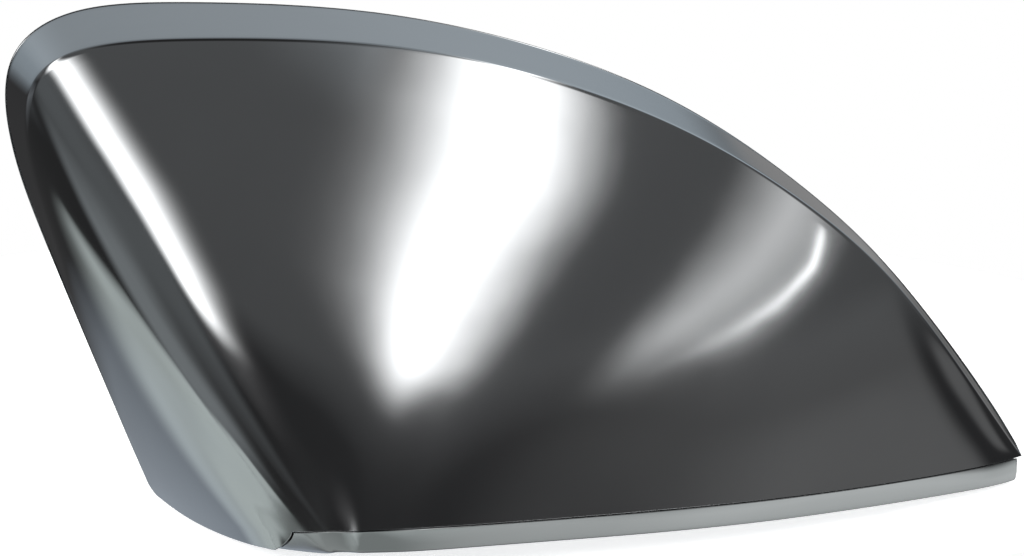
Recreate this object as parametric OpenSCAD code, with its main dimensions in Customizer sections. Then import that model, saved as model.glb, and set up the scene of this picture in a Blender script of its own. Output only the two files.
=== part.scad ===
// Outer cover of a car's wing mirror, right-hand side: one injection moulding in satin metal plating.
// Millimetres. +Z is up and -Y is forward on the car, +X runs inboard to the pointed tip. The open
// rear rim lies in the plane y = 0, and the origin is the end of the main locating pin.

/* [Cover] */
// Width from the outboard side to the inboard tip
cover_w = 229; // [200:1:260]
// Height from the hem to the top of the rear rim
cover_h = 112.5; // [98:0.5:135]
// Depth from the rear rim to the front of the face
cover_d = 69.5; // [60:0.5:85]
// Wall of the moulding
wall = 2.5; // [1.8:0.1:3.2]
// Roundness of the crease between the face and the band
crease_r = 1; // [0.7:0.1:2]

/* [Hem strip] */
// Height of the strip below the face
strip_h = 5.4; // [3:0.1:8]
// Step in from the face to the strip
strip_step = 0.9; // [0.4:0.1:1.2]
// Lean of the strip, inwards at its lower edge
strip_lean = 8; // [0:1:15]
// Width of the slit at the strip's outboard end
slit_w = 0.7; // [0.5:0.1:1.5]

/* [Locating pins] */
// Diameter of both locating pins
pin_d = 5; // [4:0.1:7]
// Length of a pin above its post
pin_l = 8; // [5:0.5:12]
// Width of a post's crossed ribs
post_w = 13; // [9:0.5:18]
// Thickness of a post's ribs
post_rib = 2; // [1.4:0.1:3]
// Diameter of the collar that a pin stands on
collar_d = 9; // [7:0.5:13]
// Distance of the second pin inboard of the main pin
pin_2_in = 80; // [60:1:90]
// Distance of the second pin below the main pin
pin_2_drop = 46; // [38:1:54]
// Distance of the posts' webs in front of the rim plane
web_drop = 25; // [20:0.5:30]

/* [Clips] */
// Width of a clip tongue
clip_w = 12; // [8:0.5:18]
// Thickness of a clip tongue
clip_t = 1.8; // [1.2:0.1:2.6]
// Space between the band and a clip tongue
clip_gap = 5.5; // [4:0.5:8]
// Depth of a clip's end below the rim plane
clip_drop = 1.5; // [0.5:0.5:4]
// Height of the barb on a clip
barb_h = 1.6; // [0.8:0.1:2.4]
// Thickness of the ribs that brace a clip
brace_t = 1.4; // [1:0.1:2.2]

/* [Hooks] */
// Width of a hook at the hem
hook_w = 9; // [6:0.5:14]
// Reach of a hook behind the hem
hook_l = 6.5; // [4:0.5:10]
// Thickness of a hook
hook_t = 1.8; // [1.2:0.1:2.6]
// Rise of the hook's lip
lip_h = 3.2; // [2:0.1:5]

/* [Hidden] */
$fn = 48;

// The guide points below are drawn for this size and stretch with the cover
drawn = [229, 69.5, 112.5];
stretch = [cover_w / drawn.x, cover_d / drawn.y, cover_h / drawn.z];

// Stations from the inboard tip to the outboard lower corner. Each row has one guide point of the
// face's lower edge, one of the crease, and one of the rim (x, z), then the face's swell in degrees
// at the lower edge and at the crease, how far the crease's rounding has opened out, and the share
// of the strip's height that hangs below the lower edge
GUIDES = [
    [[139.5, -11.5, -84.5], [139.5, -11.5, -84.5], [140.5, -84], [4, 6, 1, 1]],
    [[129.5, -22, -84], [132.5, -14.5, -75], [134.5, -73.5], [6, 8, 1, 1]],
    [[81, -51.5, -82], [110.5, -24, -43.5], [112, -42.5], [9, 12, 1, 1]],
    [[32, -62.5, -81.5], [91, -28.5, -24.5], [92, -23.5], [9, 14, 1, 1]],
    [[3, -68.5, -81], [60.5, -32.5, -3.5], [62, -1.5], [9, 14, 1, 1]],
    [[-11.5, -69.5, -81], [26, -35.5, 10.5], [26.5, 12.5], [9, 14, 1, 1]],
    [[-18.5, -69.5, -81], [-9.5, -38, 19], [-9.5, 20.5], [9, 14, 1, 1]],
    [[-21.5, -68, -81.5], [-48.5, -38, 20.5], [-48.5, 22.5], [9, 14, 1, 1]],
    [[-24.5, -67, -81.5], [-74, -35.5, 19.5], [-74.5, 22.5], [9.5, 14, 1, 1.06]],
    [[-27.5, -65.5, -82], [-86, -29.5, 10.5], [-90, 12], [9.5, 14, 1.5, 1.12]],
    [[-33.5, -59, -83.5], [-85, -22.5, -8], [-88, -9.5], [9, 12, 2.8, 0.94]],
    [[-43.5, -49.5, -85], [-79.5, -15.5, -27.5], [-81.5, -28], [8, 12, 6, 0.71]],
    [[-53.5, -20.5, -86.9], [-68.5, -8, -61.5], [-68.5, -61.5], [8, 10, 5, 0.67]],
    [[-58.3, 0, -87.1], [-58.3, 0, -87.1], [-58.3, -87.1], [6, 6, 0.8, 0.48]],
];
rows = len(GUIDES);

// Where the strip ends: its slit starts at the face's lower edge and slants down to the hem
slit_top_at = 0.745;
slit_foot_at = 0.778;
// Where the strip starts at the tip, how far its end and the hem's outboard end are rounded, and
// how far the wall thins at the tip
strip_from = 0.005;
end_round_at = 0.008;
tip_thin_at = 0.03;

// Clips stand behind these stations of the crease, hooks behind these of the lower edge
CLIPS_AT = [0.27, 0.4, 0.54, 0.785];
HOOKS_AT = [0.12, 0.21, 0.33];

// Shares of the crease's depth that the clips' braces and gussets leave free, and a gusset's foot
brace_free = 0.42;
gusset_free = 0.3;
gusset_foot = 9;
// Length of a clip's barb and of its flat top
barb_l = 4.5;
barb_top = 1;
// How deep a hook's root reaches into the wall, and its place down the strip
root_share = 0.4;
hook_at = 0.75;

// One column of the guide table as a smooth cubic curve, at s from 0 to 1
function row(i) =
    i < 0 ? 2 * GUIDES[0] - GUIDES[1] :
    i >= rows ? 2 * GUIDES[rows - 1] - GUIDES[rows - 2] : GUIDES[i];
function guide(s, k) =
    let (u = min(max(s, 0), 1) * (rows - 1), i = min(floor(u), rows - 2), f = u - i)
    ((1 - f) ^ 3 * row(i - 1)[k] + (3 * f ^ 3 - 6 * f ^ 2 + 4) * row(i)[k]
        + (-3 * f ^ 3 + 3 * f ^ 2 + 3 * f + 1) * row(i + 1)[k] + f ^ 3 * row(i + 2)[k]) / 6;

function sized(p) = [p.x * stretch.x, p.y * stretch.y, p.z * stretch.z];
function lower_edge(s) = sized(guide(s, 0));
function crease(s) = sized(guide(s, 1));
function rim(s) = let (p = guide(s, 2)) sized([p.x, 0, p.y]);

nudge = 0.001;
function unit(v) = v / max(norm(v), 1e-9);
function along(a, b) = unit(b - a);
function lower_run(s) = (lower_edge(min(s + nudge, 1)) - lower_edge(max(s - nudge, 0)));
function crease_run(s) = (crease(min(s + nudge, 1)) - crease(max(s - nudge, 0)));

// Directions at one station: up the face at the lower edge and at the crease, and out of the face
// at both and out of the band
function turned(e, m, a) = cos(a) * e + sin(a) * m;
function station(s) =
    let (
        inside = min(max(s, 0.004), 0.996),
        e = along(lower_edge(inside), crease(inside)),
        runs = [lower_run(s), crease_run(s)],
        m = unit(cross(e, runs[0] + runs[1])),
        swell = guide(s, 3),
        up_low = turned(e, m, swell.x),
        up_top = turned(e, m, -swell.y),
        back = unit(rim(s) - crease(s) + [0, 0.001, 0])
    )
    [
        up_low, up_top,
        unit(cross(up_low, runs[0] + 0.001 * runs[1])),
        unit(cross(up_top, runs[1])),
        unit(cross(back, runs[1])),
        crease_r * swell.z, runs[0]
    ];

// Cubic curve through a to d
function curve(a, b, c, d, t) =
    (1 - t) ^ 3 * a + 3 * (1 - t) ^ 2 * t * b + 3 * (1 - t) * t ^ 2 * c + t ^ 3 * d;
function curve_run(a, b, c, d, t) =
    unit((1 - t) ^ 2 * (b - a) + 2 * (1 - t) * t * (c - b) + t ^ 2 * (d - c));

// No point of the moulding passes the rim plane
function held(p) = [p.x, min(p.y, 0), p.z];

// Section of the skin at one station, set in by depth: from the hem up the face, round the crease
// and back along the band to the rim
function ramp(s, to) = min(max(s / to, 0), 1);
function rounded(s) = (1 - (1 - ramp(s, end_round_at)) ^ 4) ^ 0.25;
function end_share(s) = max(rounded(s - strip_from) * rounded(1 - s), 0.01);
function hem_height(s) = strip_h * guide(s, 3)[3] * end_share(s);
function section(s, depth, face_n, round_n) =
    let (
        st = station(s),
        thin = ramp(s, tip_thin_at),
        low = lower_edge(s) - depth * st[2],
        top = crease(s) - depth * (st[3] + thin * st[4]) / (1 + thin * (st[3] * st[4])),
        end_in = rim(s) - depth * thin * st[4],
        end = [end_in.x, 0, end_in.z],
        third = norm(top - low) / 3,
        b = low + third * st[0],
        c = top - third * st[1],
        r = min(max(st[5] - depth, 0.4), 0.45 * 3 * third),
        t_end = 1 - r / max(3 * third, 1e-6),
        band = unit(end - top),
        r_band = min(r, 0.45 * norm(end - top)),
        from = curve(low, b, c, top, t_end),
        lead = curve_run(low, b, c, top, t_end),
        to = top + r_band * band,
        pull = 0.62
    )
    concat(
        [for (i = [0:face_n]) held(curve(low, b, c, top, t_end * i / face_n))],
        [for (i = [1:round_n])
            held(curve(from, from + pull * r * lead, to - pull * r_band * band, to, i / round_n))],
        [end]
    );

// Hem below the face: a strip set in from the face, or the skin itself past the slit
function hem(s, inner) =
    let (
        st = station(s),
        side = unit(st[6]),
        down = unit(-st[0] + (st[0] * side) * side),
        step_top = s < slit_top_at ? strip_step : 0,
        step_foot = s < slit_foot_at ? strip_step : 0,
        lean = s < slit_foot_at ? strip_lean : 0,
        height = hem_height(s),
        part = strip_h == 0 ? 0 : ramp(height, strip_h / 4),
        lean_in = cos(lean) * down - sin(lean) * st[2],
        fall = lean_in / max(-lean_in.z, 0.6),
        out = cos(lean) * st[2] + sin(lean) * down,
        top = lower_edge(s) - part * step_top * st[2] + 0.05 * height * down,
        foot = lower_edge(s) - part * step_foot * st[2] + height * fall
    )
    inner ? [held(foot - (wall - step_foot) * out), held(lower_edge(s) - wall * st[2] + 0.05 * height * down)]
          : [held(foot), held(top)];

// Stations, closer together at the tip, at the slit and at the outboard end
near = 0.0012;
full_at = strip_from + end_round_at;
STATIONS = concat(
    [0, for (share = [0, 0.04, 0.15, 0.4, 1]) strip_from + share * end_round_at],
    [for (i = [1:42]) full_at + (slit_top_at - near - full_at) * i / 42],
    [slit_top_at + near, (slit_top_at + slit_foot_at) / 2, slit_foot_at - near],
    [for (i = [0:16]) slit_foot_at + near + (1 - end_round_at - slit_foot_at - near) * i / 16],
    [for (share = [0.4, 0.12, 0]) 1 - share * end_round_at]
);

// Closed skin over loops of equal length
function band_faces(loops, n) = [
    for (i = [0:loops - 2]) for (j = [0:n - 1])
        let (a = i * n + j, b = i * n + (j + 1) % n)
        each [[a, a + n, b], [b, a + n, b + n]]
];

// The moulded wall: outer and inner sections joined along the hem and the rim
module shell() {
    face_n = 9;
    round_n = 4;
    loops = [for (s = STATIONS) concat(
        hem(s, false), section(s, 0, face_n, round_n),
        [for (p = [concat(hem(s, true), section(s, wall, face_n, round_n))], i = [len(p) - 1:-1:0]) p[i]]
    )];
    n = len(loops[0]);
    last = (len(loops) - 1) * n;
    ends = [for (j = [0:n / 2 - 2]) each [
        [j, j + 1, n - 1 - j], [j + 1, n - 2 - j, n - 1 - j],
        [last + j, last + n - 1 - j, last + j + 1], [last + j + 1, last + n - 1 - j, last + n - 2 - j]
    ]];
    polyhedron([for (loop = loops) each loop], concat(band_faces(len(loops), n), ends));
}

// The space inside the cover, to the middle of its wall, but for the narrow ends
module inside() {
    core_n = 34;
    core_from = 0.02;
    core_to = 0.96;
    loops = [for (i = [0:core_n])
        let (s = core_from + (core_to - core_from) * i / core_n, p = section(s, wall / 2, 6, 1))
        concat(p, [[p[0].x, 0, p[0].z]])
    ];
    n = len(loops[0]);
    last = core_n * n;
    polyhedron([for (loop = loops) each loop], concat(
        band_faces(len(loops), n),
        [for (j = [0:n - 3]) each [[n - 1, j, j + 1], [last + n - 1, last + j + 1, last + j]]]
    ));
}

// A post of crossed ribs on the face, with a web up to the band and a round pin on a collar
module post(x, z) {
    front = -1.2 * cover_d;
    back = -pin_l - post_rib;
    translate([x - post_w / 2, front, z - post_rib / 2]) cube([post_w, back - front, post_rib]);
    translate([x - post_rib / 2, front, z - post_w / 2]) cube([post_rib, back - front, post_w]);
    translate([x - post_rib / 2, front, z]) cube([post_rib, -web_drop - front, cover_h]);
}
module pin(x, z) {
    translate([x, -pin_l - post_rib, z]) rotate([-90, 0, 0]) cylinder(h = post_rib, d = collar_d);
    translate([x, -pin_l - post_rib / 2, z]) rotate([-90, 0, 0])
        cylinder(h = pin_l + post_rib / 2, d = pin_d);
}

// A tongue beside the band, with a barb that snaps into the housing, braced to the band and face
module clip(s) {
    out = unit([station(s)[4].x, 0, station(s)[4].z]);
    place = crease(s) - (wall + clip_gap + clip_t / 2) * out;
    depth = -crease(s).y;
    front = -1.2 * cover_d;
    translate([place.x, 0, place.z]) rotate([0, atan2(out.x, out.z), 0]) {
        translate([-clip_w / 2, front, -clip_t / 2]) cube([clip_w, -clip_drop - front, clip_t]);
        translate([-clip_w / 2, -clip_drop, 0]) rotate([90, 0, 90]) linear_extrude(clip_w)
            polygon([[-barb_l, 0], [-barb_l, clip_t / 2 + barb_h],
                [-barb_l + barb_top, clip_t / 2 + barb_h], [0, clip_t / 4]]);
        for (side = [-1, 1])
            translate([side * (clip_w - brace_t) / 2 - brace_t / 2, front, 0])
                cube([brace_t, -depth * brace_free - front, clip_gap + clip_t / 2 + wall]);
        translate([-brace_t / 2, 0, 0]) rotate([90, 0, 90]) linear_extrude(brace_t)
            polygon([[front, 0], [front, -gusset_foot], [-depth, -gusset_foot],
                [-depth * gusset_free, 0]]);
    }
}

// A hook behind the hem: a shelf with a lip that turns up
module hook(s) {
    out = unit([station(s)[2].x, station(s)[2].y, 0]);
    place = lower_edge(s) - wall * out;
    translate([place.x, place.y, place.z - hook_at * strip_h]) rotate([0, 0, atan2(out.x, -out.y)])
        translate([-hook_w / 2, 0, 0]) {
            translate([0, -root_share * wall, 0]) cube([hook_w, hook_l + root_share * wall, hook_t]);
            translate([0, hook_l - hook_t, 0]) cube([hook_w, hook_t, hook_t + lip_h]);
        }
}

// The slit between the strip's outboard end and the skin
module slit() {
    a = lower_edge(slit_top_at);
    b = hem(slit_foot_at, false)[0];
    run = along(a, b);
    out = station(slit_top_at)[2];
    across = unit(cross(out, run));
    through = cross(run, across);
    multmatrix([
        [run.x, across.x, through.x, a.x],
        [run.y, across.y, through.y, a.y],
        [run.z, across.z, through.z, a.z],
        [0, 0, 0, 1]
    ])
        translate([0, -slit_w / 2, -2 * wall]) cube([norm(b - a) + wall, slit_w, 4 * wall]);
}

module mirror_cover() {
    color([0.62, 0.63, 0.65]) {
        difference() {
            shell();
            slit();
        }
        intersection() {
            inside();
            union() {
                post(0, 0);
                post(pin_2_in, -pin_2_drop);
                for (s = CLIPS_AT) clip(s);
            }
        }
        pin(0, 0);
        pin(pin_2_in, -pin_2_drop);
        for (s = HOOKS_AT) hook(s);
    }
}

mirror_cover();
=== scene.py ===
"""Outer cover of a car's right-hand wing mirror, in satin metal plating."""
import math

import bmesh
import bpy
import numpy as np
from mathutils import Matrix, Vector


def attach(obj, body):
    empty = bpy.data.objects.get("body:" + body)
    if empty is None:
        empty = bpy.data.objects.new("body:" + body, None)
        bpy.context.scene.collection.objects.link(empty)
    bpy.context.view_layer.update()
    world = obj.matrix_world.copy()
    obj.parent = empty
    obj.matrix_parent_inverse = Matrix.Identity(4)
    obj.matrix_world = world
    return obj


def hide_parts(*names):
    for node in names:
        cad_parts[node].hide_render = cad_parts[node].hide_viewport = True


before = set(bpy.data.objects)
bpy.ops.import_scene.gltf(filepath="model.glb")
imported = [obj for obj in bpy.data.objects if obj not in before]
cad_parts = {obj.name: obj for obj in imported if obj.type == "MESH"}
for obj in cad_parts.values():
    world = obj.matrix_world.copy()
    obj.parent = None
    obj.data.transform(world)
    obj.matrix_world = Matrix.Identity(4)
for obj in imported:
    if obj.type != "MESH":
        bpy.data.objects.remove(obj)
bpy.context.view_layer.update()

# ---------------------------------------------------------------------------------------------
# The wall. One plastic moulding, plated outside: a face that swells towards the front of the
# car, a crease where it turns, and a band that runs back to the flat rear rim. It is laid up
# here as cross-sections, from the pointed inboard tip round to the outboard lower corner.
# ---------------------------------------------------------------------------------------------
MM = 0.001
WALL = 2.5 * MM
CREASE_ROUND = 1.0 * MM
LEAST_ROUND = 0.4 * MM
ROUND_SHARE = 0.45
ROUND_PULL = 0.62
EDGE_ROUND = 0.35 * MM
LIP_ROUND = 0.15 * MM
PLATE_SET_IN = 0.04 * MM

# One row for each guide station: the face's lower edge (x, y, z), the crease (x, y, z) and the rim
# (x, z) in millimetres, the face's swell at the lower edge and at the crease in degrees, how far
# the crease's rounding has opened out, and the share of the hem's height
GUIDES = np.array([
    [139.5, -11.5, -84.5, 139.5, -11.5, -84.5, 140.5, -84, 4, 6, 1, 1],
    [129.5, -22, -84, 132.5, -14.5, -75, 134.5, -73.5, 6, 8, 1, 1],
    [81, -51.5, -82, 110.5, -24, -43.5, 112, -42.5, 9, 12, 1, 1],
    [32, -62.5, -81.5, 91, -28.5, -24.5, 92, -23.5, 9, 14, 1, 1],
    [3, -68.5, -81, 60.5, -32.5, -3.5, 62, -1.5, 9, 14, 1, 1],
    [-11.5, -69.5, -81, 26, -35.5, 10.5, 26.5, 12.5, 9, 14, 1, 1],
    [-18.5, -69.5, -81, -9.5, -38, 19, -9.5, 20.5, 9, 14, 1, 1],
    [-21.5, -68, -81.5, -48.5, -38, 20.5, -48.5, 22.5, 9, 14, 1, 1],
    [-24.5, -67, -81.5, -74, -35.5, 19.5, -74.5, 22.5, 9.5, 14, 1, 1.06],
    [-27.5, -65.5, -82, -86, -29.5, 10.5, -90, 12, 9.5, 14, 1.5, 1.12],
    [-33.5, -59, -83.5, -85, -22.5, -8, -88, -9.5, 9, 12, 2.8, 0.94],
    [-43.5, -49.5, -85, -79.5, -15.5, -27.5, -81.5, -28, 8, 12, 6, 0.71],
    [-53.5, -20.5, -86.9, -68.5, -8, -61.5, -68.5, -61.5, 8, 10, 5, 0.67],
    [-58.3, 0, -87.1, -58.3, 0, -87.1, -58.3, -87.1, 6, 6, 0.8, 0.48],
])
SLIT_TOP, SLIT_FOOT = 0.745, 0.79
TIP_THIN = 0.03
NEARBY = 0.001


def guide(s, first, last):
    """Columns first to last of the guide table as smooth cubic curves, at stations s (0 to 1)."""
    rows = len(GUIDES)
    u = np.clip(s, 0, 1) * (rows - 1)
    i = np.minimum(u.astype(int), rows - 2)
    f = (u - i)[:, None]
    before, after = 2 * GUIDES[0] - GUIDES[1], 2 * GUIDES[-1] - GUIDES[-2]
    table = np.vstack([before, GUIDES, after])[:, first:last]
    return ((1 - f) ** 3 * table[i] + (3 * f ** 3 - 6 * f ** 2 + 4) * table[i + 1]
            + (-3 * f ** 3 + 3 * f ** 2 + 3 * f + 1) * table[i + 2] + f ** 3 * table[i + 3]) / 6


def unit(v):
    """Each vector at length 1."""
    return v / np.maximum(np.linalg.norm(v, axis=-1, keepdims=True), 1e-12)


def dot(a, b):
    return (a * b).sum(axis=-1, keepdims=True)


def lower_edge(s):
    return guide(s, 0, 3) * MM


def crease(s):
    return guide(s, 3, 6) * MM


def rim(s):
    x_z = guide(s, 6, 8) * MM
    return np.stack([x_z[:, 0], 0 * x_z[:, 0], x_z[:, 1]], axis=1)


def directions(s):
    """Directions at stations s: up the face at the lower edge and the crease, out of the face at
    both, out of the band, and along the hem."""
    near, far = np.clip(s - NEARBY, 0, 1), np.clip(s + NEARBY, 0, 1)
    run_low = lower_edge(far) - lower_edge(near)
    run_top = crease(far) - crease(near)
    kept = np.clip(s, 0.004, 0.996)
    chord = unit(crease(kept) - lower_edge(kept))
    bulge = unit(np.cross(chord, run_low + run_top))
    low, top = np.radians(guide(s, 8, 9)), np.radians(guide(s, 9, 10))
    up_low = np.cos(low) * chord + np.sin(low) * bulge
    up_top = np.cos(top) * chord - np.sin(top) * bulge
    back = unit(rim(s) - crease(s) + np.array([0, 1e-6, 0]))
    return (up_low, up_top, unit(np.cross(up_low, run_low + 0.001 * run_top)),
            unit(np.cross(up_top, run_top)), unit(np.cross(back, run_top)), unit(run_low))


def cubic(a, b, c, d, t):
    a, b, c, d = (p[:, None, :] for p in (a, b, c, d))
    return (1 - t) ** 3 * a + 3 * (1 - t) ** 2 * t * b + 3 * (1 - t) * t ** 2 * c + t ** 3 * d


def skin(s, depth, face_n, round_n, band_n):
    """Sections of the skin, set in by depth: up the face, round the crease and back along
    the band."""
    up_low, up_top, n_low, n_top, n_band, _ = directions(s)
    thin = np.clip(s / TIP_THIN, 0, 1)[:, None]
    low = lower_edge(s) - depth * n_low
    top = crease(s) - depth * (n_top + thin * n_band) / (1 + thin * dot(n_top, n_band))
    end = rim(s) - depth * thin * n_band
    end[:, 1] = 0
    length = np.linalg.norm(top - low, axis=1, keepdims=True)
    b, c = low + length / 3 * up_low, top - length / 3 * up_top
    rounding = CREASE_ROUND * guide(s, 10, 11)
    r = np.minimum(np.maximum(rounding - depth, LEAST_ROUND), ROUND_SHARE * length)
    t_end = (1 - r / np.maximum(length, 1e-9))[:, :, None]
    face = cubic(low, b, c, top, t_end * np.linspace(0, 1, face_n)[None, :, None])
    last = t_end[:, :, 0]
    lead = unit((1 - last) ** 2 * (b - low) + 2 * (1 - last) * last * (c - b)
                + last ** 2 * (top - c))
    band = unit(end - top)
    r_band = np.minimum(r, ROUND_SHARE * np.linalg.norm(end - top, axis=1, keepdims=True))
    turn_end = top + r_band * band
    start = face[:, -1]
    leaving, arriving = start + ROUND_PULL * r * lead, turn_end - ROUND_PULL * r_band * band
    turn = cubic(start, leaving, arriving, turn_end,
                 np.linspace(0, 1, round_n + 1)[None, 1:, None])
    steps = np.linspace(0, 1, band_n + 1)[None, 1:, None]
    back = turn_end[:, None] + (end - turn_end)[:, None] * steps
    return np.concatenate([face, turn, back], axis=1)


HEM_H = 5.24 * MM
CORNER_FROM = 0.008
LEAST_FALL = 0.6


def hem_fall(s, lean):
    """How the hem runs below the lower edge, for each metre of height."""
    up_low, _, n_low, _, _, side = directions(s)
    down = unit(-up_low + dot(up_low, side) * side)
    lean = np.broadcast_to(lean, s.shape)[:, None]
    fall = np.cos(lean) * down - np.sin(lean) * n_low
    return fall / np.maximum(-fall[:, 2:3], LEAST_FALL)


def hem_height(s):
    """The hem's height, which falls away in a rounded corner at the outboard end."""
    short_of_end = 1 - np.clip((1 - s) / CORNER_FROM, 0, 1)
    return HEM_H * guide(s, 11, 12) * ((1 - short_of_end ** 4) ** 0.25)[:, None]


def quads(rows, columns, closed):
    """Faces over a grid of points, closed across its columns or not."""
    across = columns if closed else columns - 1
    return [(i * columns + j, i * columns + (j + 1) % columns,
             (i + 1) * columns + (j + 1) % columns, (i + 1) * columns + j)
            for i in range(rows - 1) for j in range(across)]


def tube(grid):
    """Faces over a closed tube of points, with a cap at each end."""
    rows, columns = grid.shape[:2]
    first, last = range(columns), range((rows - 1) * columns, rows * columns)
    return quads(rows, columns, True) + [tuple(first), tuple(reversed(last))]


def placed(name, data):
    """A new object in the scene."""
    made = bpy.data.objects.new(name, data)
    bpy.context.scene.collection.objects.link(made)
    return made


def moulded(name, points, faces):
    """A smooth mesh object from an array of points."""
    mesh = bpy.data.meshes.new(name)
    mesh.from_pydata(points.reshape(-1, 3).tolist(), [], faces)
    mesh.validate()
    mesh.shade_smooth()
    return placed(name, mesh)


# Stations lie closer together at the tip, at the slit and round the outboard corner
wall_s = np.concatenate([
    np.linspace(0, TIP_THIN, 16)[:-1], np.linspace(TIP_THIN, SLIT_TOP, 230)[:-1],
    np.linspace(SLIT_TOP, SLIT_FOOT, 18)[:-1], np.linspace(SLIT_FOOT, 1 - CORNER_FROM, 100)[:-1],
    1 - CORNER_FROM * (1 - np.linspace(0, 1, 22)) ** 2,
])
outer = skin(wall_s, PLATE_SET_IN, face_n=56, round_n=12, band_n=14)
inner = skin(wall_s, WALL, face_n=30, round_n=6, band_n=8)
n_low = directions(wall_s)[2]

# Past the slit the skin itself runs on down to the hem; its edge at the slit is cut on a slant
SLANT_CURVE = 0.8
LEAST_DROP = 0.04 * MM
LIP_TIGHT = 0.12 * MM
past_slit = np.clip((wall_s - SLIT_TOP) / (SLIT_FOOT - SLIT_TOP), 0, 1)[:, None]
drop = np.maximum(hem_height(wall_s) * past_slit ** SLANT_CURVE, LEAST_DROP)
fall = hem_fall(wall_s, 0)
foot = outer[:, 0] + drop * fall
tight = np.minimum(LIP_TIGHT, 0.25 * drop)
lip = np.stack([
    foot - WALL * n_low - 0.1 * MM * fall,
    foot - (WALL - 0.1 * MM) * n_low,
    foot - LIP_ROUND * n_low,
    foot - 0.3 * LIP_ROUND * n_low - 0.3 * tight * fall,
    foot - tight * fall,
    foot - 2 * tight * fall,
    outer[:, 0] + 0.5 * drop * fall,
], axis=1)

# The rear rim is a flat land with its two edges broken; the plating runs round the outer one
RIM_PLATED = 3
rim_in, rim_out = inner[:, -1], outer[:, -1]
land = rim_in - rim_out
land_width = np.maximum(np.linalg.norm(land, axis=1, keepdims=True), 1e-9)
inward = land * np.minimum(EDGE_ROUND / land_width, 0.3)
band_depth = -crease(wall_s)[:, 1:2]
back_off = np.minimum(EDGE_ROUND, 0.08 * band_depth) * np.array([0, -1, 0])
outer[:, -1] = rim_out + 3 * back_off
inner[:, -1] = rim_in + 3 * back_off
rim_round = np.stack([
    rim_out + 1.6 * back_off, rim_out + back_off,
    rim_out + 0.3 * inward + 0.3 * back_off, rim_out + inward,
    rim_in - inward, rim_in - 0.3 * inward + 0.3 * back_off,
    rim_in + back_off, rim_in + 1.6 * back_off,
], axis=1)
loops = np.concatenate([lip, outer, rim_round, inner[:, ::-1]], axis=1)
loops[:, :, 1] = np.minimum(loops[:, :, 1], 0)
wall = moulded("cover_wall", loops, tube(loops))
columns = loops.shape[1]
outside_columns = lip.shape[1] + outer.shape[1] + RIM_PLATED
for face in wall.data.polygons:
    column = min(face.vertices) % columns
    face.material_index = 0 if 1 <= column < outside_columns else 1

# Satin plating: a bright, slightly rough metal. The plated skin has a fine tooth, a faint swell
# left by the polishing wheel, and small differences in sheen.
grain = bpy.data.node_groups.new("plating_surface", "ShaderNodeTree")
GRAIN_INPUTS = {"Tooth Scale": 9000.0, "Swell Scale": 90.0, "Roughness": 0.16, "Spread": 0.03}
for name, value in GRAIN_INPUTS.items():
    socket = grain.interface.new_socket(name, in_out="INPUT", socket_type="NodeSocketFloat")
    socket.default_value = value
for name in ("Tooth", "Swell", "Roughness", "Tone"):
    grain.interface.new_socket(name, in_out="OUTPUT", socket_type="NodeSocketFloat")


def add(tree, kind, **values):
    """A shader node, with the inputs named in values set."""
    node = tree.nodes.new("ShaderNode" + kind)
    for key, value in values.items():
        if hasattr(node, key):
            setattr(node, key, value)
        else:
            node.inputs[key.replace("_", " ")].default_value = value
    return node


group_in = grain.nodes.new("NodeGroupInput")
group_out = grain.nodes.new("NodeGroupOutput")
place = add(grain, "TexCoord")
tooth = add(grain, "TexNoise", Detail=2.0)
swell = add(grain, "TexNoise", Detail=1.0)
patches = add(grain, "TexNoise", Scale=26.0, Detail=3.0)
for noise in (tooth, swell, patches):
    grain.links.new(place.outputs["Object"], noise.inputs["Vector"])
grain.links.new(group_in.outputs["Tooth Scale"], tooth.inputs["Scale"])
grain.links.new(group_in.outputs["Swell Scale"], swell.inputs["Scale"])
centred = add(grain, "Math", operation="SUBTRACT")
centred.inputs[1].default_value = 0.5
scaled = add(grain, "Math", operation="MULTIPLY_ADD")
grain.links.new(patches.outputs["Fac"], centred.inputs[0])
grain.links.new(centred.outputs[0], scaled.inputs[0])
grain.links.new(group_in.outputs["Spread"], scaled.inputs[1])
grain.links.new(group_in.outputs["Roughness"], scaled.inputs[2])
grain.links.new(tooth.outputs["Fac"], group_out.inputs["Tooth"])
grain.links.new(swell.outputs["Fac"], group_out.inputs["Swell"])
grain.links.new(scaled.outputs[0], group_out.inputs["Roughness"])
grain.links.new(patches.outputs["Fac"], group_out.inputs["Tone"])


def plated(name, dark, light, roughness, spread, tooth_height, swell_height):
    """A metal plating with its own tones, roughness and depth of grain."""
    material = bpy.data.materials.new(name)
    material.use_nodes = True
    tree = material.node_tree
    shader = tree.nodes["Principled BSDF"]
    shader.inputs["Metallic"].default_value = 1.0
    surface = tree.nodes.new("ShaderNodeGroup")
    surface.node_tree = grain
    surface.inputs["Roughness"].default_value = roughness
    surface.inputs["Spread"].default_value = spread
    tone = add(tree, "ValToRGB")
    tone.color_ramp.elements[0].position = 0.3
    tone.color_ramp.elements[0].color = (*dark, 1)
    tone.color_ramp.elements[1].position = 0.7
    tone.color_ramp.elements[1].color = (*light, 1)
    tree.links.new(surface.outputs["Tone"], tone.inputs["Fac"])
    tree.links.new(tone.outputs["Color"], shader.inputs["Base Color"])
    tree.links.new(surface.outputs["Roughness"], shader.inputs["Roughness"])
    swells = add(tree, "Bump", Strength=1.0, Distance=swell_height)
    teeth = add(tree, "Bump", Strength=1.0, Distance=tooth_height)
    tree.links.new(surface.outputs["Swell"], swells.inputs["Height"])
    tree.links.new(surface.outputs["Tooth"], teeth.inputs["Height"])
    tree.links.new(swells.outputs["Normal"], teeth.inputs["Normal"])
    tree.links.new(teeth.outputs["Normal"], shader.inputs["Normal"])
    return material


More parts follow.
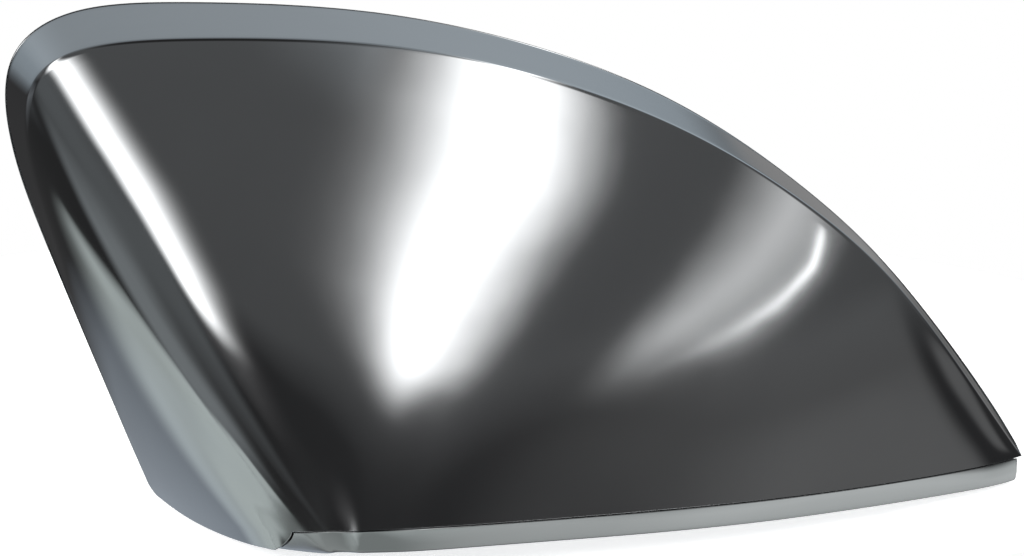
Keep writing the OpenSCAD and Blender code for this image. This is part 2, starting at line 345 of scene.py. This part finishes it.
satin = plated(
    "satin_plating", dark=(0.312, 0.318, 0.322), light=(0.332, 0.338, 0.342),
    roughness=0.078, spread=0.012, tooth_height=0.00005 * MM, swell_height=0.014 * MM)
back_plating = plated(
    "back_of_plating", dark=(0.16, 0.163, 0.167), light=(0.24, 0.244, 0.248),
    roughness=0.42, spread=0.12, tooth_height=0.01 * MM, swell_height=0.1 * MM)
wall.data.materials.append(satin)
wall.data.materials.append(back_plating)
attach(wall, "root")
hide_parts("mirror_cover")

# ---------------------------------------------------------------------------------------------
# The hem strip. It is moulded with the wall, set in a little below the face's lower edge so that
# a thin shadow line shows between them, and it ends at a slit before the outboard corner.
# ---------------------------------------------------------------------------------------------
STRIP_LEAN = math.radians(8)
STRIP_START = 0.005
CORNER_LONG = 0.006
SLIT_GAP = 0.0045
END_CLEAR = 0.0004
FLUSH_FROM = 0.2
FLUSH_BY = 0.6
FRONT_LEAN = math.radians(8)
FRONT_AT, FRONT_SPREAD = 0.53, 0.14

# Across the strip: how far it lies in from the skin, and how far down, first as a share of the
# strip's height and then in millimetres
PROFILE = [
    (1.6, 0, -0.6), (1.6, 0, 0.38), (0.84, 0, 0.4), (0.79, 0, 0.42), (0.76, 0, 0.48),
    (0.75, 0, 0.6), (0.72, 0.3, 0.3), (0.75, 0.6, 0.1), (0.81, 0.82, 0), (0.88, 1, -0.6),
    (0.94, 1, -0.35), (1.03, 1, -0.14), (1.25, 1, 0), (1.9, 1, 0), (2.2, 1, -0.15),
    (2.42, 1, -0.45), (2.42, 0.5, 0), (2.42, 0, -0.6),
]
OUTSIDE_RINGS = 12
along = np.concatenate([
    np.linspace(0, 0.02, 14)[:-1], np.linspace(0.02, 0.9, 200)[:-1], np.linspace(0.9, 1, 60)])
strip_rings = []
for ring, (inset, share, extra) in enumerate(PROFILE):
    slit = SLIT_TOP + (SLIT_FOOT - SLIT_TOP) * share
    end = slit - END_CLEAR - SLIT_GAP * math.sin(math.pi * share)
    s = STRIP_START + (end - STRIP_START) * along
    corner = np.clip((s - STRIP_START) / CORNER_LONG, 0, 1)
    height = hem_height(s) * (1 - (1 - corner) ** 4 * 0.5)[:, None]
    # Towards the slit the strip comes out, to lie flush with the skin beyond it
    flush = np.clip((s - SLIT_TOP + FLUSH_FROM) / FLUSH_FROM, 0, 1)[:, None]
    flush = flush ** 2 * (3 - 2 * flush)
    set_in = (inset - (FLUSH_BY * flush if ring <= OUTSIDE_RINGS else 0)) * MM
    out = directions(s)[2]
    # Round the front the strip leans in more, as the face above it does
    lean = STRIP_LEAN + FRONT_LEAN * np.exp(-((s - FRONT_AT) / FRONT_SPREAD) ** 4)
    below = (share * height + extra * MM) * hem_fall(s, lean)
    strip_rings.append(lower_edge(s) - set_in * out + below)
strip_grid = np.stack(strip_rings, axis=1)
strip = moulded("hem_strip", strip_grid, tube(strip_grid))
strip.data.materials.append(satin)
strip.data.materials.append(back_plating)
for face in strip.data.polygons:
    face.material_index = 1 if min(face.vertices) % len(PROFILE) > OUTSIDE_RINGS else 0
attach(strip, "root")

# ---------------------------------------------------------------------------------------------
# Locating posts. Crossed ribs moulded on the back of the face, each set with a web up to the band,
# carry a collar and a round pin that sets the cover on its housing.
# ---------------------------------------------------------------------------------------------
PIN_R = 2.5 * MM
PIN_L = 8.0 * MM
PIN_LEAD = 0.4 * MM
COLLAR_R = 4.5 * MM
COLLAR_SUNK = 0.5 * MM
COLLAR_BREAK = 0.25 * MM
RIB_T = 2.0 * MM
RIB_BREAK = 0.25 * MM
POST_W = 13.0 * MM
WEB_BACK = -25.0 * MM
WEB_UP = 112.0 * MM
POSTS_AT = [(0.0, 0.0), (80 * MM, -46 * MM)]
FRONT = -83 * MM
SHARP_ANGLE = math.radians(28)

# The space inside the cover, to the middle of its wall, cuts everything moulded there to length
core_s = np.linspace(0, 1, 120)
core_skin = skin(core_s, WALL / 2, face_n=20, round_n=2, band_n=3)
core_foot = core_skin[:, :1].copy()
core_foot[:, :, 1] = 0
core_grid = np.concatenate([core_skin, core_foot], axis=1)
core = moulded("core", core_grid, tube(core_grid))


def prism(outline, low, high, bevel=RIB_BREAK):
    """An outline in y and z drawn out along x, with its edges broken."""
    shape = bmesh.new()
    ends = [[shape.verts.new((x, y, z)) for y, z in outline] for x in (low, high)]
    shape.faces.new(ends[0])
    shape.faces.new(list(reversed(ends[1])))
    count = len(outline)
    for i in range(count):
        j = (i + 1) % count
        shape.faces.new((ends[0][j], ends[0][i], ends[1][i], ends[1][j]))
    bmesh.ops.recalc_face_normals(shape, faces=shape.faces)
    if bevel:
        bmesh.ops.bevel(shape, geom=list(shape.edges), offset=bevel, segments=2,
                        affect="EDGES", profile=0.6)
    return shape


def slab(x, y, z, bevel=RIB_BREAK):
    """A rib between the pairs of limits x, y and z."""
    return prism([(y[0], z[0]), (y[1], z[0]), (y[1], z[1]), (y[0], z[1])], x[0], x[1], bevel)


def turned(outline, steps=64):
    """A round solid about y from its outline of (radius, y), both ends on the axis."""
    shape = bmesh.new()
    rings = []
    for radius, y in outline:
        if radius == 0:
            rings.append([shape.verts.new((0, y, 0))] * steps)
        else:
            angles = [2 * math.pi * k / steps for k in range(steps)]
            rings.append([shape.verts.new((radius * math.sin(a), y, radius * math.cos(a)))
                          for a in angles])
    for one, two in zip(rings, rings[1:]):
        for k in range(steps):
            n = (k + 1) % steps
            corners = [one[k], one[n], two[n], two[k]]
            shape.faces.new(list(dict.fromkeys(corners)))
    bmesh.ops.recalc_face_normals(shape, faces=shape.faces)
    return shape


def solid(name, shape, place):
    """A bmesh shape as an object, moved to its place."""
    mesh = bpy.data.meshes.new(name)
    shape.to_mesh(mesh)
    shape.free()
    mesh.transform(place)
    return placed(name, mesh)


def joined(name, shapes, place, cut=True):
    """Shapes trimmed to the space inside the cover and made one, with the dull inside plating."""
    solids = [solid(name, shape, place) for shape in shapes]
    base = solids[0]
    steps = [("UNION", other) for other in solids[1:]] + ([("INTERSECT", core)] if cut else [])
    for operation, other in steps:
        change = base.modifiers.new(operation, "BOOLEAN")
        change.operation = operation
        change.solver = "EXACT"
        change.object = other
    bpy.context.view_layer.update()
    shaped = base.evaluated_get(bpy.context.evaluated_depsgraph_get())
    mesh = bpy.data.meshes.new_from_object(shaped)
    for old in solids:
        bpy.data.objects.remove(old)
    mesh.materials.clear()
    mesh.materials.append(back_plating)
    mesh.shade_smooth()
    mesh.set_sharp_from_angle(angle=SHARP_ANGLE)
    made = placed(name, mesh)
    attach(made, "root")
    return made


for label, (x, z) in zip(("main", "second"), POSTS_AT):
    back = -PIN_L - RIB_T
    joined("post_" + label, [
        slab((-POST_W / 2, POST_W / 2), (FRONT, back), (-RIB_T / 2, RIB_T / 2)),
        slab((-RIB_T / 2, RIB_T / 2), (FRONT, back), (-POST_W / 2, POST_W / 2)),
        slab((-RIB_T / 2, RIB_T / 2), (FRONT, WEB_BACK), (0.3 * MM, WEB_UP)),
    ], Matrix.Translation((x, 0, z)))
    joined("pin_" + label, [turned([
        (0, back - COLLAR_SUNK), (COLLAR_R - 0.3 * MM, back - COLLAR_SUNK), (COLLAR_R, back),
        (COLLAR_R, -PIN_L - COLLAR_BREAK), (COLLAR_R - COLLAR_BREAK, -PIN_L),
        (PIN_R + 0.3 * MM, -PIN_L),
        (PIN_R + 0.08 * MM, -PIN_L + 0.1 * MM), (PIN_R, -PIN_L + 0.35 * MM),
        (PIN_R, -PIN_LEAD), (PIN_R - 0.12 * MM, -0.12 * MM), (PIN_R - PIN_LEAD, 0), (0, 0),
    ])], Matrix.Translation((x, 0, z)), cut=False)

# ---------------------------------------------------------------------------------------------
# Snap clips. Four tongues beside the band, each with a barb for its catch in the housing, two ribs
# that brace it to the band and a gusset behind it. All are moulded with the wall.
# ---------------------------------------------------------------------------------------------
CLIPS = {"inboard": 0.27, "upper": 0.4, "outboard": 0.54, "side": 0.785}
CLIP_W = 12.0 * MM
CLIP_T = 1.8 * MM
CLIP_GAP = 5.5 * MM
CLIP_END = -1.5 * MM
BARB_L = 4.5 * MM
BARB_H = 1.6 * MM
BRACE_T = 1.4 * MM
BRACE_SLACK = 0.02 * MM
BRACE_FREE = 0.42
GUSSET_FREE = 0.3
GUSSET_FOOT = 9.0 * MM

for label, at in CLIPS.items():
    s = np.array([at])
    out = directions(s)[4][0]
    out[1] = 0
    out = out / np.linalg.norm(out)
    top = crease(s)[0]
    place = top - (WALL + CLIP_GAP + CLIP_T / 2) * out
    depth = -top[1]
    tip = CLIP_T / 2 + BARB_H
    barb_y = CLIP_END - BARB_L
    brace_z = CLIP_GAP + CLIP_T / 2 + WALL
    brace_y = -depth * BRACE_FREE
    half = (CLIP_W - BRACE_T) / 2
    shapes = [prism([
        (FRONT, -CLIP_T / 2), (CLIP_END, -CLIP_T / 2), (CLIP_END, CLIP_T / 4),
        (barb_y + MM, tip), (barb_y, tip), (barb_y, CLIP_T / 2), (FRONT, CLIP_T / 2),
    ], -CLIP_W / 2, CLIP_W / 2, 0.3 * MM)]
    for middle in (-half, half):
        sides = (middle - BRACE_T / 2 + BRACE_SLACK, middle + BRACE_T / 2 - BRACE_SLACK)
        shapes.append(slab(sides, (FRONT, brace_y), (0.1 * MM, brace_z), 0.2 * MM))
    shapes.append(prism([
        (FRONT, 0.1 * MM), (FRONT, -GUSSET_FOOT),
        (-depth, -GUSSET_FOOT), (-depth * GUSSET_FREE, 0.1 * MM),
    ], -BRACE_T / 2, BRACE_T / 2, 0.2 * MM))
    joined("clip_" + label, shapes, Matrix.Translation((place[0], 0, place[2]))
           @ Matrix.Rotation(math.atan2(out[0], out[2]), 4, "Y"))

# ---------------------------------------------------------------------------------------------
# Hooks. Three short shelves behind the hem, each with a lip that turns up and catches the lower
# edge of the housing. They are moulded with the strip.
# ---------------------------------------------------------------------------------------------
HOOKS = {"inboard": 0.12, "middle": 0.21, "outboard": 0.33}
HOOK_W = 9.0 * MM
HOOK_L = 6.5 * MM
HOOK_T = 1.8 * MM
LIP_H = 3.2 * MM
HOOK_ROOT = 0.4 * WALL
HOOK_DROP = 0.75 * HEM_H

for label, at in HOOKS.items():
    s = np.array([at])
    out = directions(s)[2][0]
    out[2] = 0
    out = out / np.linalg.norm(out)
    place = lower_edge(s)[0] - WALL * out
    shelf = prism([
        (-HOOK_ROOT, 0), (HOOK_L, 0), (HOOK_L, HOOK_T + LIP_H), (HOOK_L - HOOK_T, HOOK_T + LIP_H),
        (HOOK_L - HOOK_T, HOOK_T), (-HOOK_ROOT, HOOK_T),
    ], -HOOK_W / 2, HOOK_W / 2, 0.3 * MM)
    at_hem = Matrix.Translation((place[0], place[1], place[2] - HOOK_DROP))
    facing = Matrix.Rotation(math.atan2(out[0], -out[1]), 4, "Z")
    joined("hook_" + label, [shelf], at_hem @ facing, cut=False)

bpy.data.objects.remove(core)

# ---------------------------------------------------------------------------------------------
# Stage: a white table in a dim room, hung with soft lamps and paper sheets that only the metal
# sees. Each is a curved strip on a wide sphere about the cover, bright inside and fading out.
# ---------------------------------------------------------------------------------------------
def toward(azimuth, elevation):
    a, e = math.radians(azimuth), math.radians(elevation)
    return Vector((math.sin(a) * math.cos(e), -math.cos(a) * math.cos(e), math.sin(e)))


LAMP_CENTRE = Vector((0.02, -0.03, -0.036))
LAMP_FAR = 6.0
SHEET_STEPS = 6
SHEET_ACROSS = 17


def lit(name, strength, color):
    """Light that adds to what is behind it, as bright as the mesh's own glow value says."""
    material = bpy.data.materials.new(name)
    material.use_nodes = True
    tree = material.node_tree
    tree.nodes.clear()
    share = add(tree, "Attribute", attribute_name="glow")
    power = add(tree, "Math", operation="MULTIPLY")
    power.inputs[1].default_value = strength
    lamp = add(tree, "Emission", Color=(*color, 1))
    clear = add(tree, "BsdfTransparent")
    both = add(tree, "AddShader")
    end = add(tree, "OutputMaterial")
    tree.links.new(share.outputs["Fac"], power.inputs[0])
    tree.links.new(power.outputs[0], lamp.inputs["Strength"])
    tree.links.new(lamp.outputs[0], both.inputs[0])
    tree.links.new(clear.outputs[0], both.inputs[1])
    tree.links.new(both.outputs[0], end.inputs["Surface"])
    return material


def soft_sheet(name, pairs, strength, fade, power, ends, color=(1, 1, 1)):
    """A curved sheet of light between two edges, given as pairs of (azimuth, elevation). It comes
    up from each edge over a share (fade) of its width, raised to a power, and from each end over
    a share of its length."""
    pairs = np.array(pairs, dtype=float)
    at = np.linspace(0, 1, len(pairs))
    u = np.linspace(0, 1, SHEET_STEPS * len(pairs))
    v = np.linspace(0, 1, SHEET_ACROSS)
    edges = np.stack([[np.interp(u, at, pairs[:, side, k]) for k in (0, 1)] for side in (0, 1)])
    points, glow = [], []
    for i, station in enumerate(u):
        along_u = min(station / max(ends[0], 1e-6), 1) * min((1 - station) / max(ends[1], 1e-6), 1)
        along_u = along_u ** 2 * (3 - 2 * along_u)
        for across in v:
            a, e = (1 - across) * edges[0, :, i] + across * edges[1, :, i]
            points.append(LAMP_CENTRE + LAMP_FAR * toward(a, e))
            glow.append(along_u * min(across / max(fade[0], 1e-6), 1) ** power[0]
                        * min((1 - across) / max(fade[1], 1e-6), 1) ** power[1])
    mesh = bpy.data.meshes.new(name)
    mesh.from_pydata(points, [], quads(len(u), len(v), False))
    mesh.attributes.new("glow", "FLOAT", "POINT").data.foreach_set("value", glow)
    mesh.materials.append(lit(name, strength, color))
    made = placed(name, mesh)
    made.visible_camera = False


soft_sheet("lamp_left", [
    ((-41, -6), (-24, -2)), ((-45.5, 0), (-15.5, 2.5)), ((-50.5, 3.5), (-11.5, 11)),
    ((-59, 6.5), (-15, 23)), ((-71, 8.5), (-29, 32)), ((-85, 9), (-44, 38)),
    ((-100, 14), (-62, 43)), ((-118, 21), (-85, 45)), ((-142, 26), (-112, 44)),
    ((-160, 28), (-140, 40)),
], 5.0, fade=(0.28, 0.52), power=(1.6, 2.4), ends=(0.12, 0.2))
soft_sheet("lamp_right", [
    ((2, 9.5), (17.5, 9)), ((0.5, 14), (24, 12.3)), ((0, 21), (29, 16.5)), ((3.5, 29), (34.5, 22)),
    ((7.5, 37), (43.5, 29)), ((12, 46), (51.5, 36.5)), ((22, 56), (59.5, 43)), ((38, 67), (72, 51)),
    ((65, 74), (88, 54.5)), ((95, 73), (106, 55)), ((122, 67), (120, 51.5)),
    ((142, 57), (135, 45.5)), ((158, 46), (148, 36)), ((170, 34), (160, 26)),
], 5.0, fade=(0.62, 0.28), power=(3.0, 1.7), ends=(0.1, 0.2))
soft_sheet("lamp_right_halo", [
    ((3, 46), (18, 36)), ((6, 55), (24, 44)), ((14, 64), (32, 52)), ((30, 75), (48, 61)),
    ((62, 82), (70, 67)), ((105, 82), (98, 66)), ((135, 74), (126, 60)), ((154, 62), (146, 52)),
    ((170, 50), (160, 42)),
], 0.3, fade=(0.8, 0.2), power=(1.3, 1), ends=(0.25, 0.2), color=(0.92, 1.0, 1.06))
soft_sheet("lamp_side", [
    ((31, 7), (36.5, 4)), ((38, 13.5), (43.5, 8.8)), ((47, 20.5), (54, 12.6)), ((57, 27), (65, 16)),
    ((68, 32.5), (78, 19.5)), ((82, 37.5), (93, 27)), ((100, 40), (104, 30)),
], 1.35, fade=(0.45, 0.55), power=(1.2, 1.2), ends=(0.25, 0.35))
soft_sheet("lamp_thin", [
    ((37.8, 7.8), (38.2, 7.4)), ((43.1, 10.3), (43.5, 9.9)), ((47.3, 12.3), (47.5, 11.9)),
    ((52.35, 14.6), (52.65, 14.1)), ((58.6, 17), (58.9, 16.3)), ((66.2, 19.8), (66.8, 18.8)),
    ((73.4, 23.2), (73.6, 22.4)),
], 7.0, fade=(0.5, 0.5), power=(1, 1), ends=(0.6, 0.05))
soft_sheet("sheet_behind", [
    ((128, 0), (128, 72)), ((142, 0), (142, 72)), ((160, 0), (160, 72)), ((180, -1), (180, 72)),
    ((194, -6), (194, 72)), ((197, -4), (198, 72)), ((200, -6), (203, 72)),
    ((203, -4.5), (208, 72)), ((212, -3), (220, 72)), ((228, -3), (236, 72)),
    ((248, -2), (250, 72)),
], 0.3, fade=(0.03, 0.3), power=(1, 1), ends=(0.1, 0.45), color=(0.85, 1.0, 1.12))
soft_sheet("window_behind", [
    ((132, 4), (124, 54)), ((147, 0), (140, 54)), ((160, 0), (156, 44)), ((176, 0), (172, 36)),
], 0.38, fade=(0.4, 0.4), power=(1, 1), ends=(0.3, 0.5), color=(0.85, 1.0, 1.12))
soft_sheet("ledge_behind", [
    ((128, -10.5), (128, 2)), ((145, -10.5), (145, 2)), ((162, -10.5), (162, 2)),
    ((173, -14), (173, 2)), ((184, -14), (184, 1)),
], 0.24, fade=(0.25, 0.15), power=(1, 1), ends=(0.1, 0.15))
soft_sheet("window_outboard", [
    ((186, -4), (188, 28)), ((198, -4), (200, 32)), ((212, -4), (214, 28)),
], 0.15, fade=(0.2, 0.6), power=(1, 1), ends=(0.5, 0.5), color=(0.85, 1.0, 1.12))
soft_sheet("table_outboard", [
    ((-200, -11), (-200, -75)), ((-180, -13), (-180, -75)), ((-165, -17.5), (-165, -75)),
    ((-150, -21.5), (-150, -75)), ((-138, -24.5), (-138, -75)), ((-125, -29), (-125, -75)),
    ((-110, -34), (-110, -75)), ((-97, -37), (-97, -75)),
], 0.6, fade=(0.35, 0.3), power=(0.45, 1), ends=(0.05, 0.3), color=(0.86, 0.98, 1.12))
soft_sheet("card_outboard", [
    ((-150, -20), (-148, -26)), ((-138, -20.8), (-138, -34)), ((-130, -21.5), (-130, -42)),
    ((-122, -23.5), (-122, -50)), ((-115, -25), (-115, -56)), ((-107, -26.5), (-107, -60)),
    ((-101, -30), (-101, -62)), ((-96.5, -33), (-96.5, -62)),
], 0.92, fade=(0.12, 0.8), power=(0.8, 1), ends=(0.42, 0.08), color=(0.92, 1.02, 1.0))
soft_sheet("card_bright", [
    ((-114, -28), (-114, -52)), ((-105, -31), (-105, -52)), ((-97, -35), (-97, -50)),
], 0.22, fade=(0.3, 0.5), power=(1, 1), ends=(0.5, 0.1), color=(0.92, 1.02, 1.0))
soft_sheet("card_foot", [
    ((-99.5, -33.5), (-99.5, -42.2)), ((-96, -34.5), (-96, -42)), ((-92.5, -35.5), (-92.5, -41.7)),
    ((-89.5, -36.5), (-89.5, -41.4)),
], 1.0, fade=(0.35, 0.24), power=(1, 1), ends=(0.35, 0.3), color=(0.92, 1.02, 1.0))
soft_sheet("glow_outboard", [
    ((-107, -36), (-107, -6)), ((-98, -38), (-98, -6)), ((-90, -40), (-90, -6)),
    ((-80, -38), (-80, -6)), ((-70, -33), (-70, -6)), ((-60, -30), (-60, -6)),
], 0.4, fade=(0.15, 0.4), power=(1, 1), ends=(0.3, 0.5), color=(0.92, 1.0, 1.04))
soft_sheet("glow_side", [
    ((-155, -15), (-155, 3)), ((-130, -16), (-130, 6)), ((-108, -15), (-108, 6)),
], 0.2, fade=(0.5, 0.5), power=(1, 1), ends=(0.25, 0.2), color=(0.92, 1.0, 1.08))
soft_sheet("glow_left", [
    ((-112, -16), (-112, 20)), ((-80, -20), (-80, 20)), ((-60, -32), (-60, 20)),
    ((-48, -31), (-48, 20)), ((-36, -26), (-36, 20)),
], 0.18, fade=(0.4, 0.4), power=(1, 1), ends=(0.15, 0.25), color=(0.92, 1.0, 1.04))
soft_sheet("glow_tail", [
    ((-44, -12), (-44, 4)), ((-28, -11), (-28, 8)), ((-10, -3), (-10, 12)),
], 0.1, fade=(0.4, 0.3), power=(1, 1), ends=(0.3, 0.5))
soft_sheet("glow_right", [
    ((18, -14), (18, 14)), ((48, -20), (48, 15)), ((74, -20), (74, 15)), ((88.5, -14), (88.5, 13)),
], 0.2, fade=(0.4, 0.4), power=(1, 1), ends=(0.4, 0.12))
soft_sheet("glow_tip", [
    ((90, 3.2), (90, 7.4)), ((96, 2.2), (96, 6.7)), ((103, 2), (103, 6)),
], 0.2, fade=(0.3, 0.3), power=(1, 1), ends=(0.35, 0.35))
# The table's far edge as the face shows it, with the light falling off towards the camera
TABLE_EDGE = [
    (-106, -39), (-98, -41), (-90, -42), (-80, -42), (-70, -38), (-60, -34.5), (-54, -33),
    (-48, -30), (-42, -26), (-36, -22), (-30, -18), (-24, -13.8), (-18, -10), (-12, -6.3), (-6, -5),
    (0, -3), (8, -2), (18, -2), (26, -3.5), (36, -4.5), (46, -6.5), (56, -8.5), (66, -9.5),
    (76, -7.5), (90, -4), (120, -3), (160, -8),
]
soft_sheet("table_front", [((az, el), (az, -75)) for az, el in TABLE_EDGE],
           0.45, fade=(0.03, 0.3), power=(1, 1), ends=(0.06, 0.05), color=(0.93, 1.02, 1.0))
soft_sheet("table_edge", [((az, el), (az, el - 17)) for az, el in TABLE_EDGE[1:20]],
           0.45, fade=(0.1, 0.9), power=(1, 1.2), ends=(0.04, 0.1), color=(0.93, 1.02, 1.0))
soft_sheet("table_middle", [((az, el - 1.5), (az, el - 16)) for az, el in TABLE_EDGE[7:18]],
           0.45, fade=(0.15, 0.85), power=(1, 1), ends=(0.2, 0.2), color=(0.93, 1.02, 1.0))
soft_sheet("table_right", [
    ((4, -5.5), (4, -75)), ((14, -6), (14, -75)), ((24, -6.5), (24, -75)), ((34, -7), (34, -75)),
    ((44, -7.5), (44, -75)), ((54, -8), (54, -75)), ((66, -8.5), (66, -75)), ((80, -6), (80, -75)),
    ((120, -4), (120, -75)), ((160, -10), (160, -75)),
], 0.68, fade=(0.08, 0.92), power=(1, 0.8), ends=(0.45, 0.1))

TABLE_R = 0.2
TABLE_X, TABLE_Y, TABLE_Z = 0.02, 0.1, -0.0908
TABLE_SIDES = 128
TABLE_GLOW = 0.7
table_mesh = bpy.data.meshes.new("table")
ring = np.linspace(0, 2 * math.pi, TABLE_SIDES + 1)[:-1]
table_mesh.from_pydata([
    (TABLE_X + TABLE_R * math.cos(a), TABLE_Y + TABLE_R * math.sin(a), TABLE_Z) for a in ring
], [], [tuple(range(TABLE_SIDES))])
table = placed("table", table_mesh)
table_paint = bpy.data.materials.new("table_paint")
table_paint.use_nodes = True
tree = table_paint.node_tree
paint = tree.nodes["Principled BSDF"]
paint.inputs["Base Color"].default_value = (0.8, 0.8, 0.8, 1)
paint.inputs["Roughness"].default_value = 1.0
paint.inputs["Specular IOR Level"].default_value = 0.0
paint.inputs["Emission Color"].default_value = (1, 1, 1, 1)
paths = add(tree, "LightPath")
seen = add(tree, "Math", operation="ADD", use_clamp=True)
lift = add(tree, "Math", operation="MULTIPLY")
lift.inputs[1].default_value = TABLE_GLOW
tree.links.new(paths.outputs["Is Camera Ray"], seen.inputs[0])
tree.links.new(paths.outputs["Is Glossy Ray"], seen.inputs[1])
tree.links.new(seen.outputs[0], lift.inputs[0])
tree.links.new(lift.outputs[0], paint.inputs["Emission Strength"])
table_mesh.materials.append(table_paint)
table.visible_glossy = False

# The room: white to the camera, and dim in the metal, a little lighter overhead
room = bpy.data.worlds.new("room")
bpy.context.scene.world = room
room.use_nodes = True
tree = room.node_tree
tree.nodes.clear()
where = add(tree, "TexCoord")
split = add(tree, "SeparateXYZ")
rise = add(tree, "MapRange")
rise.inputs["From Min"].default_value = -1.0
shade = add(tree, "ValToRGB")
SHADES = [(0.0, (0.3, 0.3, 0.3)), (0.15, (0.05, 0.05, 0.05)), (0.5, (0.05, 0.05, 0.052)),
          (0.548, (0.055, 0.055, 0.057)), (0.6, (0.165, 0.168, 0.172)), (0.93, (0.19, 0.195, 0.2)),
          (0.985, (0.06, 0.06, 0.062)), (1.0, (0.04, 0.04, 0.04))]
stops = shade.color_ramp.elements
while len(stops) < len(SHADES):
    stops.new(0.5)
for stop, (position, color) in zip(stops, SHADES):
    stop.position = position
for stop, (position, color) in zip(stops, SHADES):
    stop.color = (*color, 1)
dim = add(tree, "Background")
white = add(tree, "Background", Color=(1, 1, 1, 1))
chosen = add(tree, "MixShader")
paths = add(tree, "LightPath")
end = add(tree, "OutputWorld")
tree.links.new(where.outputs["Generated"], split.inputs[0])
tree.links.new(split.outputs["Z"], rise.inputs["Value"])
tree.links.new(rise.outputs[0], shade.inputs["Fac"])
tree.links.new(shade.outputs["Color"], dim.inputs["Color"])
tree.links.new(paths.outputs["Is Camera Ray"], chosen.inputs["Fac"])
tree.links.new(dim.outputs[0], chosen.inputs[1])
tree.links.new(white.outputs[0], chosen.inputs[2])
tree.links.new(chosen.outputs[0], end.inputs["Surface"])

# Camera: a long lens, a little outboard of square-on and a little above
CAMERA_AT = (-8, 12)
CAMERA_FAR = 1.1
FRAME_WIDTH = 0.224
SENSOR_MM = 36
aim = Vector((0.020, -0.029, -0.036))
lens = bpy.data.cameras.new("camera")
lens.sensor_width = SENSOR_MM
lens.lens = SENSOR_MM * CAMERA_FAR / FRAME_WIDTH
lens.clip_start = 0.05
camera = placed("camera", lens)
camera.location = aim + CAMERA_FAR * toward(*CAMERA_AT)
camera.rotation_euler = toward(*CAMERA_AT).to_track_quat("Z", "Y").to_euler()
bpy.context.scene.camera = camera
bpy.context.scene.view_settings.view_transform = "Standard"
